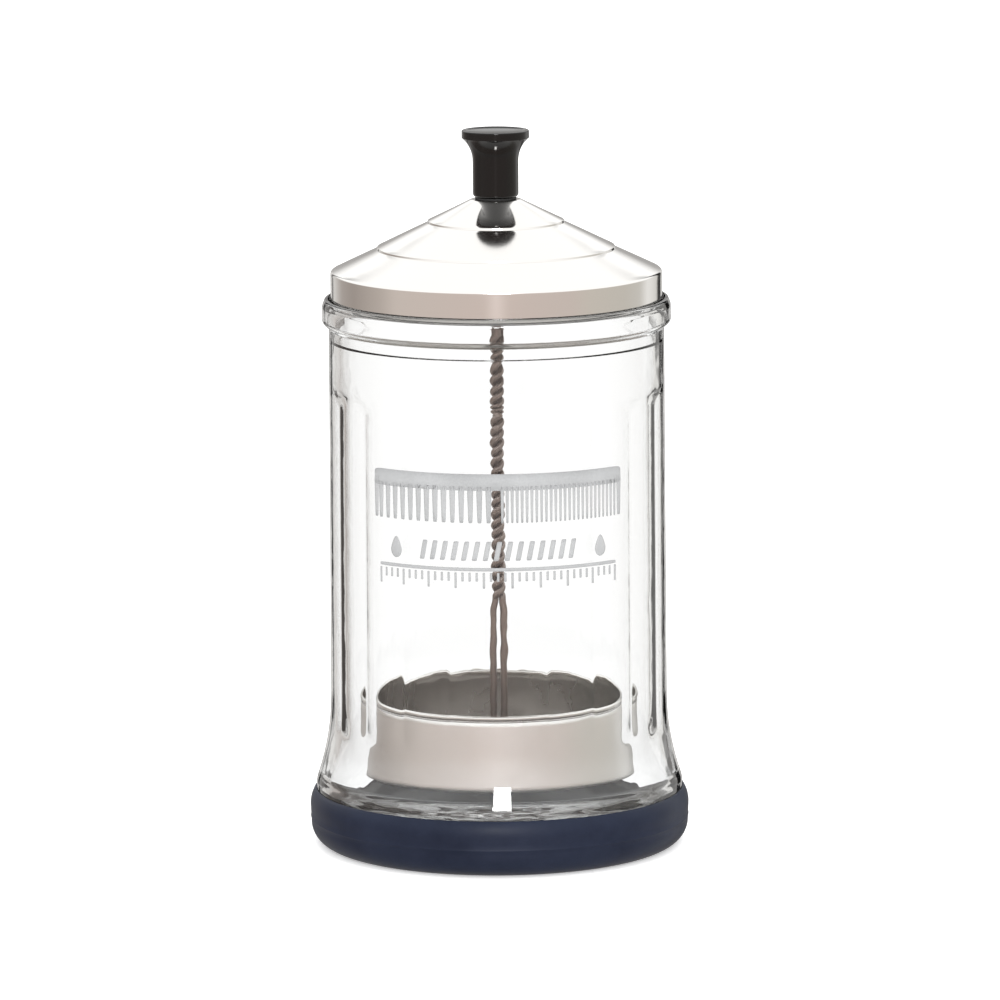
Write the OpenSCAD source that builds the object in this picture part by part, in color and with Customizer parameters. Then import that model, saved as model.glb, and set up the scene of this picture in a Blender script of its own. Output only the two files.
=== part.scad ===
// Salon disinfectant jar: a fluted glass jar in a rubber boot, closed by a spun steel lid.
// A wire lifter hangs from the lid's knob and carries a perforated basket for the tools.
// Millimetres. +Z is up, and the origin is the centre of the face that the boot stands on.

/* [Rubber boot] */
// Thickness of the boot's floor under the glass
boot_floor = 3; // [2:0.2:5]
// Thickness of the boot's wall at its widest
boot_wall = 1.9; // [1.4:0.1:3]
// Height of the boot's lip above the table
boot_h = 16.8; // [15:0.2:18]
// Radius of the boot's lower outside corner
boot_corner = 7; // [5:0.5:8]
// Depth of the hollow under the boot
boot_hollow = 0.8; // [0.4:0.1:1.2]
// Width of the ring that the boot stands on
boot_ring = 6; // [4:0.5:10]

/* [Glass jar] */
// Outside diameter of the glass just under the rim
body_d = 97.5; // [80:0.5:125]
// Height of the lid seat above the glass's standing face
seat_h = 156.25; // [130:0.5:200]
// Extra radius of the body where the flare begins
body_draft = 0.45; // [0:0.05:0.8]
// How far the foot stands out from the body
foot_swell = 4.85; // [3:0.05:7]
// Height of the foot's upright side above its standing face
foot_side = 16; // [14:0.5:18]
// Height at which the flare meets the body, above the standing face
flare_h = 42; // [36:1:56]
// Radius of the foot's heel
heel_r = 4; // [3:0.5:6]
// Wall thickness at the ridges between the flutes
wall_t = 3.8; // [3.2:0.05:5]
// Wall thickness in the foot
foot_wall = 3; // [2.5:0.1:4]
// Thickness of the glass floor
floor_t = 4.5; // [3.5:0.25:7]
// Depth of the hollow pressed into the underside
punt_depth = 1.2; // [0.5:0.1:2]
// Radius of that hollow
punt_r = 32; // [20:1:38]

/* [Flutes] */
// Number of flutes round the inside wall
flute_n = 20; // [16:1:24]
// Depth of a flute below its ridges
flute_depth = 0.9; // [0.4:0.1:1.4]
// Distance from the lid seat down to the flutes' arched tops
flute_below_seat = 24.5; // [18:0.5:40]
// Height of the arches
flute_arch = 7.5; // [4:0.5:12]
// Distance from the lid seat down to the small step in the plain neck
neck_below_seat = 10.25; // [7:0.25:14]

/* [Glass rim] */
// How far the rim stands out from the body
rim_bead = 1.95; // [1:0.05:3.5]
// Thickness of the glass lip that stands round the lid
rim_wall = 2.2; // [1.8:0.1:3]
// Height of the rim's lip above the lid seat
rim_lip = 2; // [1:0.25:4]
// Height of the rim below the lid seat
rim_skirt = 6; // [4:0.25:9]

/* [Lid] */
// Thickness of the spun sheet
lid_t = 0.7; // [0.5:0.1:1]
// Height of the lid's upright band
lid_band = 9.6; // [6:0.2:16]
// Slope of the lid's cone, in degrees
lid_slope = 26; // [18:1:34]
// Radius of the flat on top, under the knob
lid_flat_r = 7.2; // [6.5:0.1:10]
// Radius of the upper step
step_1_r = 19.8; // [14:0.2:25]
// Radius of the lower step
step_2_r = 34.5; // [29:0.2:39]
// Drop at each step
step_drop = 0.6; // [0.3:0.1:1]
// Radial width of each step
step_w = 0.35; // [0.2:0.05:0.6]
// Radius of the lid's outer corner
lid_corner = 0.8; // [0.4:0.1:1.5]

/* [Knob] */
// Height of the knob
knob_h = 19.5; // [14:0.5:26]
// Diameter of the knob's stem
knob_stem_d = 13.3; // [12:0.1:14]
// Diameter of the knob's rim
knob_rim_d = 19.6; // [17:0.2:24]
// Height of the knob's rim
knob_rim_h = 2.4; // [1.5:0.1:3]
// Height of the flare under the rim
knob_flare_h = 6.6; // [5:0.2:8]
// Radius of the knob's bottom corner
knob_corner = 1.1; // [0.6:0.1:1.6]
// Depth of the dish in the knob's top
knob_dish = 0.9; // [0.4:0.1:1.4]
// Wall of the threaded insert round the bolt
insert_wall = 1.5; // [1:0.1:2]
// Length of the threaded insert
insert_l = 11; // [8:0.5:13]
// Thickness of the washer between knob and lid
knob_washer_t = 0.5; // [0.4:0.1:1]
// Width of that washer round the bolt
knob_washer_w = 3.5; // [2.5:0.25:4]

/* [Eye bolt and nut] */
// Diameter of the bolt's shank
bolt_d = 5; // [4:0.1:6]
// Length of shank below the nut
bolt_tail = 2; // [1:0.5:5]
// Diameter of the hole in the eye
eye_d = 5.6; // [5.4:0.1:7]
// Width of metal round that hole
eye_wall = 2.4; // [1.8:0.1:3]
// Thickness of the eye
eye_t = 2.2; // [1.6:0.1:2.6]
// Metal of the nut round the bolt, measured at its flats
nut_wall = 1.5; // [1.3:0.1:2.5]
// Height of the nut
nut_h = 5; // [4:0.5:6]
// Width of the washer under the lid
washer_w = 3; // [2.5:0.25:4]
// Thickness of the washer under the lid
washer_t = 1; // [0.8:0.1:1.4]

/* [Lifter wire] */
// Diameter of the wire
wire_d = 2; // [1.6:0.1:2.4]
// Height that each full turn of the twist takes, at the least
twist_pitch = 11; // [9:0.5:16]
// Height at which the twist ends and the two legs part, above the basket's lower edge
fork_h = 50; // [42:0.5:70]
// Distance between the two legs below the twist
leg_gap = 3.1; // [2.8:0.1:4]
// Radius of the bend at the foot of each leg, on the centreline
leg_bend_r = 1.6; // [1.5:0.1:2.2]
// How far each welded foot reaches from the axis
leg_reach = 15; // [8:1:22]

/* [Basket] */
// Height of the basket's lower edge above the glass floor inside
basket_lift = 15.3; // [8:0.1:30]
// Height of the basket band
basket_h = 21.6; // [18:0.2:30]
// Space between the band's lower edge and the ridges in the glass
basket_gap = 5.95; // [4:0.05:12]
// How much smaller in radius the band is at its top
basket_taper = 1.4; // [0:0.1:3]
// Thickness of the band
basket_t = 0.6; // [0.5:0.1:1]
// Radius of the rolled top edge
roll_r = 0.65; // [0.6:0.05:1]
// Height of the perforated floor above the band's lower edge
tray_lift = 2.8; // [2.5:0.1:6]
// Thickness of the perforated floor
tray_t = 0.7; // [0.5:0.1:1]
// Length of the floor's turned-down flange
tray_flange = 2.2; // [1.5:0.1:2.3]
// Diameter of the drain holes
drain_d = 4; // [3:0.25:5]
// Distance between the rings of drain holes
drain_pitch = 7.5; // [7:0.25:8]

/* [Clearances] */
// Between the glass foot and the boot
boot_fit = 0.05; // [0.02:0.01:0.2]
// Between the lid's edge and the glass it rests on
seat_gap = 0.15; // [0.1:0.05:0.3]
// Between the lid's band and the glass lip around it
lip_gap = 0.3; // [0.2:0.05:0.8]
// End play of the lid between knob and nut, each side
end_play = 0.1; // [0.05:0.05:0.2]
// Radial clearance of the bolt in the lid's hole
bolt_fit = 0.08; // [0.04:0.01:0.1]
// Radial clearance of a part fixed in its seat
fixed_fit = 0.03; // [0.02:0.01:0.05]
// Round the wire in the tray's slot
wire_gap = 0.3; // [0.2:0.05:0.5]
// Between the wire's loop and each face of the eye
loop_gap = 0.5; // [0.3:0.05:0.8]
// Between the two wires of the twist
strand_gap = 0.08; // [0.04:0.01:0.2]

/* [Hidden] */
$fn = 96;

// radii, from the glass inwards
rim_r = body_d / 2 + rim_bead;
foot_r = body_d / 2 + foot_swell;
low_body_r = body_d / 2 + body_draft;
ridge_r = body_d / 2 - wall_t;
groove_r = ridge_r + flute_depth;
neck_r = groove_r + 0.1;
lid_r = rim_r - rim_wall - lip_gap;
basket_r = ridge_r - basket_gap;
insert_r = bolt_d / 2 + insert_wall;
wire_r = wire_d / 2;
strand_r = wire_r + strand_gap / 2;
loop_r = eye_t / 2 + loop_gap + wire_r;

// heights, up the glass and then down from the knob
jar_z = boot_floor;
seat_z = jar_z + seat_h;
flute_top_z = seat_z - flute_below_seat;
lid_z = seat_z + seat_gap;
cone_h = (lid_r - lid_flat_r - 2 * step_w) * tan(lid_slope) + 2 * step_drop;
lid_top_z = lid_z + lid_band + cone_h;
knob_z = lid_top_z + end_play + knob_washer_t;
washer_top_z = lid_top_z - lid_t - end_play;
nut_top_z = washer_top_z - washer_t;
eye_z = nut_top_z - nut_h - bolt_tail - eye_d / 2 - eye_wall;
basket_z = jar_z + floor_t + basket_lift;
tray_z = basket_z + tray_lift;
fork_z = basket_z + fork_h;

// radius of the flutes' cutter, from the width between two ridges and the flutes' depth
cusp_r = ridge_r + 0.1;
cusp_sag = groove_r - cusp_r * cos(180 / flute_n);
flute_r = (pow(cusp_r * sin(180 / flute_n), 2) + pow(cusp_sag, 2)) / (2 * cusp_sag);

// Points on an arc round (x, z), from angle a to angle b, in n steps.
function arc(x, z, r, a, b, n) =
    [for (i = [0:n]) let (t = a + (b - a) * i / n) [x + r * cos(t), z + r * sin(t)]];

// A list in the opposite order.
function backwards(list) = [for (i = [len(list) - 1:-1:0]) list[i]];

// A solid of revolution round Z with the outline pts, each point being [radius, height].
module turned(pts) {
    rotate_extrude() polygon(pts);
}

// A plain ring or washer standing on z.
module ring(z, h, outer_r, inner_r) {
    translate([0, 0, z])
    difference() {
        cylinder(h = h, r = outer_r);
        translate([0, 0, -1]) cylinder(h = h + 2, r = inner_r);
    }
}

// The flare is a concave arc that leaves the body upright and ends at the foot's radius.
// drop is its height, and swell is how far it moves outwards. Its arc radius follows from both.
function flare_radius(drop, swell) = (drop * drop + swell * swell) / (2 * swell);
function flare(top_r, top_z, drop, swell, n) =
    let (r = flare_radius(drop, swell), a = asin(drop / r))
    [for (i = [0:n]) let (t = a * i / n) [top_r + r * (1 - cos(t)), top_z - r * sin(t)]];

// Outside of the glass, from the middle of its underside up to the rim's lip.
foot_round = 1.2;
flare_drop = flare_h - foot_side - foot_round;
outside = concat(
    [[0, jar_z + punt_depth], [punt_r - punt_depth, jar_z + punt_depth], [punt_r, jar_z]],
    arc(foot_r - heel_r, jar_z + heel_r, heel_r, -90, 0, 6),
    [[foot_r, jar_z + foot_side]],
    backwards(flare(low_body_r, jar_z + flare_h, flare_drop, foot_r - foot_round / 4 - low_body_r, 12)),
    [[body_d / 2, seat_z - rim_skirt - 0.8]],
    [[body_d / 2 + 0.4, seat_z - rim_skirt - 0.2], [rim_r - 0.9, seat_z - rim_skirt + 0.3]],
    arc(rim_r - 1, seat_z - rim_skirt + 1.3, 1, -60, 0, 3),
    arc(rim_r - 0.9, seat_z + rim_lip - 0.9, 0.9, 0, 90, 5)
);

// Inside of the glass, from the lip down to the middle of the floor.
lip_in_r = rim_r - rim_wall;
inner_foot_r = foot_r - foot_wall;
inner_heel_r = heel_r + 3;
inner_top_z = jar_z + flare_h - 4;
inner_flare = inner_top_z - (jar_z + floor_t + inner_heel_r) - 2;
inside = concat(
    arc(lip_in_r + 0.4, seat_z + rim_lip - 0.4, 0.4, 90, 180, 3),
    [[lip_in_r, seat_z], [neck_r + 1.1, seat_z], [neck_r + 0.6, seat_z - 0.2]],
    [[neck_r + 0.45, seat_z - 0.7]],
    [[neck_r + 0.45, seat_z - neck_below_seat + 0.4], [neck_r, seat_z - neck_below_seat]],
    [[neck_r, flute_top_z + flute_arch * 0.1],
     [ridge_r + 0.3 * (neck_r - ridge_r), flute_top_z - flute_arch * 0.45],
     [ridge_r, flute_top_z - flute_arch]],
    flare(ridge_r, inner_top_z, inner_flare, inner_foot_r - ridge_r, 12),
    arc(inner_foot_r - inner_heel_r, jar_z + floor_t + inner_heel_r, inner_heel_r, 0, -90, 8),
    [[0, jar_z + floor_t]]
);

// The wall widens above the flutes, so each one ends there in an arch. Each one also runs out of
// the wall at its foot, where the inside flares.
module flute_cutter() {
    foot_z = jar_z + floor_t + inner_heel_r + 8;
    translate([groove_r - flute_r, 0, foot_z]) cylinder(h = flute_top_z + 2 - foot_z, r = flute_r);
}

module glass_jar() {
    color([0.86, 0.92, 0.92, 0.4])
    difference() {
        turned(concat(outside, inside));
        for (i = [0:flute_n - 1])
            rotate([0, 0, -90 + (i + 0.5) * 360 / flute_n]) flute_cutter();
    }
}

// The boot's outside swells above its rounded corner and draws in again to a thin lip on the glass.
boot_r = foot_r + boot_wall;
boot_waist_z = 12;
lip_edge = 0.35;
module rubber_boot() {
    hollow_r = boot_r - boot_corner - boot_ring;
    inner_r = foot_r + boot_fit;
    over = boot_h - boot_waist_z;
    lean = boot_r - inner_r - lip_edge;
    swing_r = (over * over + lean * lean) / (2 * lean);
    color([0.10, 0.13, 0.24])
    turned(concat(
        [[0, boot_hollow], [hollow_r - boot_hollow, boot_hollow], [hollow_r, 0]],
        arc(boot_r - boot_corner - 0.2, boot_corner, boot_corner, -90, 0, 8),
        arc(boot_r - swing_r, boot_waist_z, swing_r, 0, asin(over / swing_r), 6),
        [[inner_r, boot_h], [inner_r, jar_z + heel_r]],
        arc(inner_r - heel_r, jar_z + heel_r, heel_r, 0, -90, 6),
        [[0, jar_z]]
    ));
}

// The lid's outline, drawn at an inset t from its outer face. n is the steps in the corner.
function lid_outline(t) =
    let (fall = tan(lid_slope), slant = t / cos(lid_slope), r = lid_r - t,
         z1 = lid_top_z - (step_1_r - lid_flat_r) * fall,
         z2 = z1 - step_drop - (step_2_r - step_1_r - step_w) * fall,
         z3 = lid_z + lid_band)
    concat(
        [[bolt_d / 2 + bolt_fit, lid_top_z - t], [lid_flat_r - t * tan(lid_slope / 2), lid_top_z - t]],
        [[step_1_r, z1 - slant], [step_1_r + step_w, z1 - step_drop - slant]],
        [[step_2_r, z2 - slant], [step_2_r + step_w, z2 - step_drop - slant]],
        [[lid_r - lid_corner, z3 + lid_corner * fall - slant]],
        [[r - lid_corner * 0.25, z3 - lid_corner * 0.35 - slant * 0.6], [r, z3 - lid_corner - slant * 0.4]],
        [[r, lid_z]]
    );

module lid_shell() {
    color([0.82, 0.82, 0.81])
    turned(concat(lid_outline(0), backwards(lid_outline(lid_t))));
}

module knob() {
    stem_r = knob_stem_d / 2;
    edge_r = knob_rim_d / 2;
    swell = edge_r - 0.2 - stem_r;
    top = knob_z + knob_h;
    flare_z = top - knob_rim_h - knob_flare_h;
    sweep_r = flare_radius(knob_flare_h, swell);
    sweep_a = asin(knob_flare_h / sweep_r);
    dish_r = edge_r - 0.7;
    color([0.05, 0.05, 0.06])
    difference() {
        turned(concat(
            [[0, knob_z]],
            arc(stem_r - knob_corner, knob_z + knob_corner, knob_corner, -90, 0, 5),
            arc(stem_r + sweep_r, flare_z, sweep_r, 180, 180 - sweep_a, 8),
            arc(edge_r - 0.4, top - knob_rim_h + 0.4, 0.4, -45, 0, 2),
            arc(edge_r - 0.4, top - 0.4, 0.4, 0, 90, 3),
            [[dish_r, top - 0.1], [dish_r * 0.85, top - knob_dish * 0.5],
             [dish_r * 0.6, top - knob_dish * 0.85], [0, top - knob_dish]]
        ));
        translate([0, 0, knob_z - 1]) cylinder(h = insert_l + 1 + fixed_fit, r = insert_r + fixed_fit);
    }
}

module knob_insert() {
    color([0.80, 0.64, 0.32])
    ring(knob_z, insert_l, insert_r, bolt_d / 2 + fixed_fit);
}

module knob_washer() {
    color([0.12, 0.12, 0.12])
    ring(lid_top_z + end_play, knob_washer_t, bolt_d / 2 + knob_washer_w, bolt_d / 2 + fixed_fit);
}

// The eye is a flat ring in the YZ plane, and the shank rises from it into the knob.
module eye_bolt() {
    eye_r = eye_d / 2 + eye_wall;
    shank_z = eye_z + eye_d / 2 + eye_wall / 2;
    color([0.74, 0.74, 0.75])
    difference() {
        union() {
            translate([0, 0, shank_z]) cylinder(h = knob_z + insert_l - 1 - shank_z, r = bolt_d / 2);
            translate([-eye_t / 2, 0, eye_z]) rotate([0, 90, 0]) cylinder(h = eye_t, r = eye_r);
        }
        translate([-bolt_d, 0, eye_z]) rotate([0, 90, 0]) cylinder(h = 2 * bolt_d, r = eye_d / 2);
    }
}

module thrust_washer() {
    color([0.70, 0.70, 0.71])
    ring(washer_top_z - washer_t, washer_t, bolt_d / 2 + washer_w, bolt_d / 2 + fixed_fit);
}

module lock_nut() {
    color([0.68, 0.68, 0.70])
    translate([0, 0, nut_top_z - nut_h])
    difference() {
        cylinder(h = nut_h, r = (bolt_d / 2 + nut_wall) / cos(30), $fn = 6);
        translate([0, 0, -1]) cylinder(h = nut_h + 2, r = bolt_d / 2 + fixed_fit);
    }
}

// The wire is one hairpin. Leg A's centreline runs from its welded foot up to the top of the loop,
// and leg B is the same line turned half round.
half_eye = eye_t / 2 + 0.05;
loop_slack = (loop_r - wire_r) - sqrt(pow(loop_r - wire_r, 2) - half_eye * half_eye);
loop_top_z = eye_z - eye_d / 2 + wire_r + loop_slack + 0.05;
loop_z = loop_top_z - loop_r;
twist_top_z = loop_z - 8;
part_h = 5;
foot_wire_z = tray_z - wire_r - 0.02;
rings_per_turn = 12;
twist_turns = floor(2 * (twist_top_z - fork_z) / twist_pitch) / 2;
twist_n = twist_turns * rings_per_turn;

// the side that leg A reaches the loop on, after a whole or a half number of turns
side = cos(360 * twist_turns) > 0 ? 1 : -1;

// A value that moves smoothly from a to b as t goes from 0 to 1.
function ease(a, b, t) = a + (b - a) * (1 - cos(180 * t)) / 2;

leg = concat(
    [[leg_reach, 0, foot_wire_z], [leg_gap / 2 + leg_bend_r + 0.5, 0, foot_wire_z]],
    [for (i = [0:4]) let (t = 90 * i / 4)
        [leg_gap / 2 + leg_bend_r * (1 - sin(t)), 0, foot_wire_z + leg_bend_r * (1 - cos(t))]],
    [for (i = [0:4]) let (t = i / 4) [ease(leg_gap / 2, strand_r, t), 0, fork_z - part_h * (1 - t)]],
    [for (i = [1:twist_n]) let (t = i / twist_n, a = 360 * twist_turns * t)
        [strand_r * cos(a), strand_r * sin(a), fork_z + (twist_top_z - fork_z) * t]],
    [for (i = [1:4]) let (t = i / 4)
        [side * ease(strand_r, loop_r, t), 0, twist_top_z + (loop_z - twist_top_z) * t]],
    [for (i = [1:4]) let (t = 90 * i / 4) [side * loop_r * cos(t), 0, loop_z + loop_r * sin(t)]]
);
hairpin = concat(leg, [for (i = [len(leg) - 2:-1:0]) [-leg[i][0], -leg[i][1], leg[i][2]]]);

function unit(v) = v / norm(v);
function run(path, i) = unit(path[min(i + 1, len(path) - 1)] - path[max(i - 1, 0)]);

// A round bar of radius r swept along path, with k sides and a ring of points at each path point.
module swept(path, r, k) {
    n = len(path);
    pts = [for (i = [0:n - 1])
        let (t = run(path, i), u = unit([0, 1, 0] - t[1] * t), v = cross(t, u))
        for (j = [0:k - 1]) path[i] + r * (cos(360 * j / k) * u + sin(360 * j / k) * v)];
    sides = [for (i = [0:n - 2], j = [0:k - 1], h = [0, 1])
        let (a = i * k + j, b = i * k + (j + 1) % k, c = b + k, d = a + k) h == 0 ? [a, c, b] : [a, d, c]];
    ends = [[for (j = [0:k - 1]) j], [for (j = [k - 1:-1:0]) (n - 1) * k + j]];
    polyhedron(points = pts, faces = concat(sides, ends), convexity = 10);
}

module lifter_wire() {
    color([0.55, 0.52, 0.50])
    swept(hairpin, wire_r, 8);
}

// Outside radius of the band at a height above its lower edge.
function band_r(h) = basket_r - basket_taper * h / basket_h;

module basket_band() {
    top_z = basket_z + basket_h;
    roll_z = top_z - roll_r;
    roll_x = band_r(basket_h) - basket_t / 2;
    lean = asin(basket_t / 2 / roll_r);
    color([0.76, 0.75, 0.73])
    turned(concat(
        [[band_r(0), basket_z]],
        arc(roll_x, roll_z, roll_r, -90 + lean, 270 - lean, 14),
        [[band_r(0) - basket_t, basket_z]]
    ));
}

// A perforated disc with a turned-down flange, pressed up into the band and welded there.
module basket_tray() {
    tray_r = band_r(tray_lift + tray_t) - basket_t - fixed_fit;
    slot = wire_r + wire_gap;
    rings = floor((tray_r - tray_t - 1.4 - drain_d / 2) / drain_pitch - 0.3);
    color([0.72, 0.71, 0.70])
    difference() {
        turned([
            [0, tray_z], [tray_r - tray_t - 0.6, tray_z], [tray_r - tray_t, tray_z - 0.6],
            [tray_r - tray_t, tray_z - tray_flange], [tray_r, tray_z - tray_flange],
            [tray_r, tray_z + tray_t - 0.6], [tray_r - 0.6, tray_z + tray_t], [0, tray_z + tray_t]
        ]);
        translate([0, 0, tray_z - 1]) {
            for (x = [-1, 1])
                translate([x * leg_gap / 2, 0, 0]) cylinder(h = tray_t + 2, r = slot, $fn = 32);
            translate([-leg_gap / 2, -slot, 0]) cube([leg_gap, 2 * slot, tray_t + 2]);
            for (k = [1:rings], i = [0:6 * k - 1])
                rotate([0, 0, (i + 0.5) * 60 / k]) translate([(k + 0.3) * drain_pitch, 0, 0])
                    cylinder(h = tray_t + 2, d = drain_d, $fn = 24);
        }
    }
}

glass_jar();
rubber_boot();
lid_shell();
knob();
knob_insert();
knob_washer();
eye_bolt();
thrust_washer();
lock_nut();
lifter_wire();
basket_band();
basket_tray();
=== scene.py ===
"""The looks of a salon disinfectant jar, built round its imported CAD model.

A fluted glass jar stands in a rubber boot. A spun steel lid covers it, and the lid's knob lifts a
twisted wire and a shallow perforated basket out of the glass. Lengths are metres, and the profiles
below are written in millimetres, as pairs of radius and height.
"""

import math

import bpy
import numpy as np
from mathutils import Matrix, Vector
from bpy.props import FloatProperty, FloatVectorProperty, IntProperty, PointerProperty


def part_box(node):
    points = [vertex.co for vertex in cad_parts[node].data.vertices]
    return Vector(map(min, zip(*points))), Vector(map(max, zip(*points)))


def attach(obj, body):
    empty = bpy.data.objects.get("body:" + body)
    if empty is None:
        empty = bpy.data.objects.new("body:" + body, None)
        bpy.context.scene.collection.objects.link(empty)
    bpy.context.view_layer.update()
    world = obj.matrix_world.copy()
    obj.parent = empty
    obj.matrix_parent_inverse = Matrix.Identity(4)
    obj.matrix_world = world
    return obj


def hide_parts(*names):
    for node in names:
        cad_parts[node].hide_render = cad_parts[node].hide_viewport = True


bl_info = {
    "name": "Disinfectant Jar",
    "version": (1, 0, 0),
    "blender": (4, 5, 0),
    "location": "View3D > Sidebar > Jar",
    "description": "Builds the glass, metal, rubber and plastic of a salon disinfectant jar",
    "category": "Add Mesh",
}

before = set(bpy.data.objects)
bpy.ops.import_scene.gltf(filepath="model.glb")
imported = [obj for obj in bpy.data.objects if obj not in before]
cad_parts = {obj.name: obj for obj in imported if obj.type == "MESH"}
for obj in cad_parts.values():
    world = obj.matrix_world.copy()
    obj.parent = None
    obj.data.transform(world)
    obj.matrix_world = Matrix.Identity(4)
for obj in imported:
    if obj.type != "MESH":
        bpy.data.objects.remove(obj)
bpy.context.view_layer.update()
MM = 0.001


def height_of(node, top):
    """Height of a CAD node's top or bottom, in millimetres."""
    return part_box(node)[1 if top else 0][2] / MM


GLASS_FOOT = height_of("glass_jar", False)
GLASS_TOP = height_of("glass_jar", True)
LID_EDGE = height_of("lid_shell", False)
LID_TOP = height_of("lid_shell", True)
KNOB_FOOT = height_of("knob", False)
KNOB_TOP = height_of("knob", True)
BASKET_FOOT = height_of("basket_band", False)
BASKET_TOP = height_of("basket_band", True)
WIRE_FOOT = height_of("lifter_wire", False)
WIRE_TOP = height_of("lifter_wire", True)

# millimetres, up from the foot of the glass or down from its lip
GLASS_FLOOR = 4.5      # thickness of the glass floor
FLARE_TOP = 42         # where the outside of the foot's flare meets the wall
BORE_FLARE_TOP = 38    # where the inside starts to flare
RIM_SKIRT = 9.4        # lower edge of the beaded rim
WALL_DRAFT = 0.45      # the wall is this much wider at the flare than at the rim

# millimetres
LID_RADIUS = 48.2
LID_BAND = 9.6         # height of the lid's upright band
LID_STEP = 0.6         # drop at each step of the cone
CONE_SLOPE = math.radians(26)
WIRE_RADIUS = 1.0
PRINT_SINK = 0.02      # the print starts this far inside the glass
INK = 0.05             # thickness of the print


# ---------------------------------------------------------------- shapes


def arc(x, z, r, start, end, steps):
    """Points on a circle of radius r round (x, z), from angle start to angle end in degrees."""
    t = np.radians(np.linspace(start, end, steps + 1))
    return np.column_stack([x + r * np.cos(t), z + r * np.sin(t)])


def rounded(corners, steps=6):
    """A path through corners (x, z, radius), with each corner replaced by an arc of its radius.

    Each arc starts and ends at radius * tan(half the turn) from its corner, along the two sides,
    and its points are the corner's centre plus the radius, turned evenly from side to side.
    """
    c = np.array(corners, float)
    out = [c[:1, :2]]
    for a, b, d, r in zip(c[:-2, :2], c[1:-1, :2], c[2:, :2], c[1:-1, 2]):
        u, v = (a - b) / np.linalg.norm(a - b), (d - b) / np.linalg.norm(d - b)
        between = math.acos(float(np.clip(u @ v, -1, 1)))
        if r <= 0 or between > 3.13:
            out.append(b[None])
            continue
        centre = b + (u + v) / np.linalg.norm(u + v) * r / math.sin(between / 2)
        reach = r / math.tan(between / 2)
        p, q = b + u * reach - centre, b + v * reach - centre
        turn = math.atan2(p[0] * q[1] - p[1] * q[0], p @ q)
        t = math.atan2(p[1], p[0]) + np.linspace(0, turn, steps + 1)
        out.append(centre + r * np.column_stack([np.cos(t), np.sin(t)]))
    out.append(c[-1:, :2])
    return np.concatenate(out)


def dense(path, step):
    """The same path without doubled points, and with no two neighbours further apart than step."""
    gaps = np.linalg.norm(np.diff(path, axis=0), axis=1)
    path = path[np.concatenate([[True], gaps > 0.004])]
    gaps = np.linalg.norm(np.diff(path, axis=0), axis=1)
    parts = [
        np.linspace(a, b, max(1, math.ceil(g / step)), endpoint=False)
        for a, b, g in zip(path[:-1], path[1:], gaps)
    ]
    return np.concatenate([*parts, path[-1:]])


def strip_faces(rows, columns, wrap_rows, wrap_columns):
    """Four-cornered faces of a grid of points, numbered row by row, wrapping where asked."""
    i = np.arange(rows if wrap_rows else rows - 1)
    j = np.arange(columns if wrap_columns else columns - 1)
    i, j = [g.ravel() for g in np.meshgrid(i, j, indexing="ij")]
    i2, j2 = (i + 1) % rows, (j + 1) % columns
    return np.column_stack([i * columns + j, i * columns + j2, i2 * columns + j2, i2 * columns + j])


def mesh_object(name, verts, quads, tris, materials, uv=None, which=None, smooth=True):
    """A mesh object at the origin from arrays of points, four-cornered and three-cornered faces.

    uv has one pair for each point, and a face that spans the seam gets 1 added to its low side.
    which gives each face's material number, quads first.
    """
    quads, tris = np.asarray(quads, int).reshape(-1, 4), np.asarray(tris, int).reshape(-1, 3)
    mesh = bpy.data.meshes.new(name)
    loops = np.concatenate([quads.ravel(), tris.ravel()])
    counts = np.concatenate([np.full(len(quads), 4), np.full(len(tris), 3)])
    mesh.vertices.add(len(verts))
    mesh.vertices.foreach_set("co", (np.asarray(verts) * MM).ravel())
    mesh.loops.add(len(loops))
    mesh.loops.foreach_set("vertex_index", loops)
    mesh.polygons.add(len(counts))
    mesh.polygons.foreach_set("loop_start", np.concatenate([[0], np.cumsum(counts)[:-1]]))
    mesh.update(calc_edges=True)
    if uv is not None:
        flat = np.asarray(uv, float)[loops]
        for start, stop, n in ((0, quads.size, 4), (quads.size, len(loops), 3)):
            u = flat[start:stop, 0].reshape(-1, n)
            u += (u < 0.5) & (np.ptp(u, axis=1, keepdims=True) > 0.5)
        layer = mesh.uv_layers.new(name="surface")
        layer.data.foreach_set("uv", flat.ravel())
    for m in materials:
        mesh.materials.append(m)
    if which is not None:
        mesh.polygons.foreach_set("material_index", np.asarray(which, np.int32))
    mesh.polygons.foreach_set("use_smooth", np.full(len(counts), smooth))
    mesh.validate()
    obj = bpy.data.objects.new(name, mesh)
    bpy.context.scene.collection.objects.link(obj)
    return obj


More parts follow.
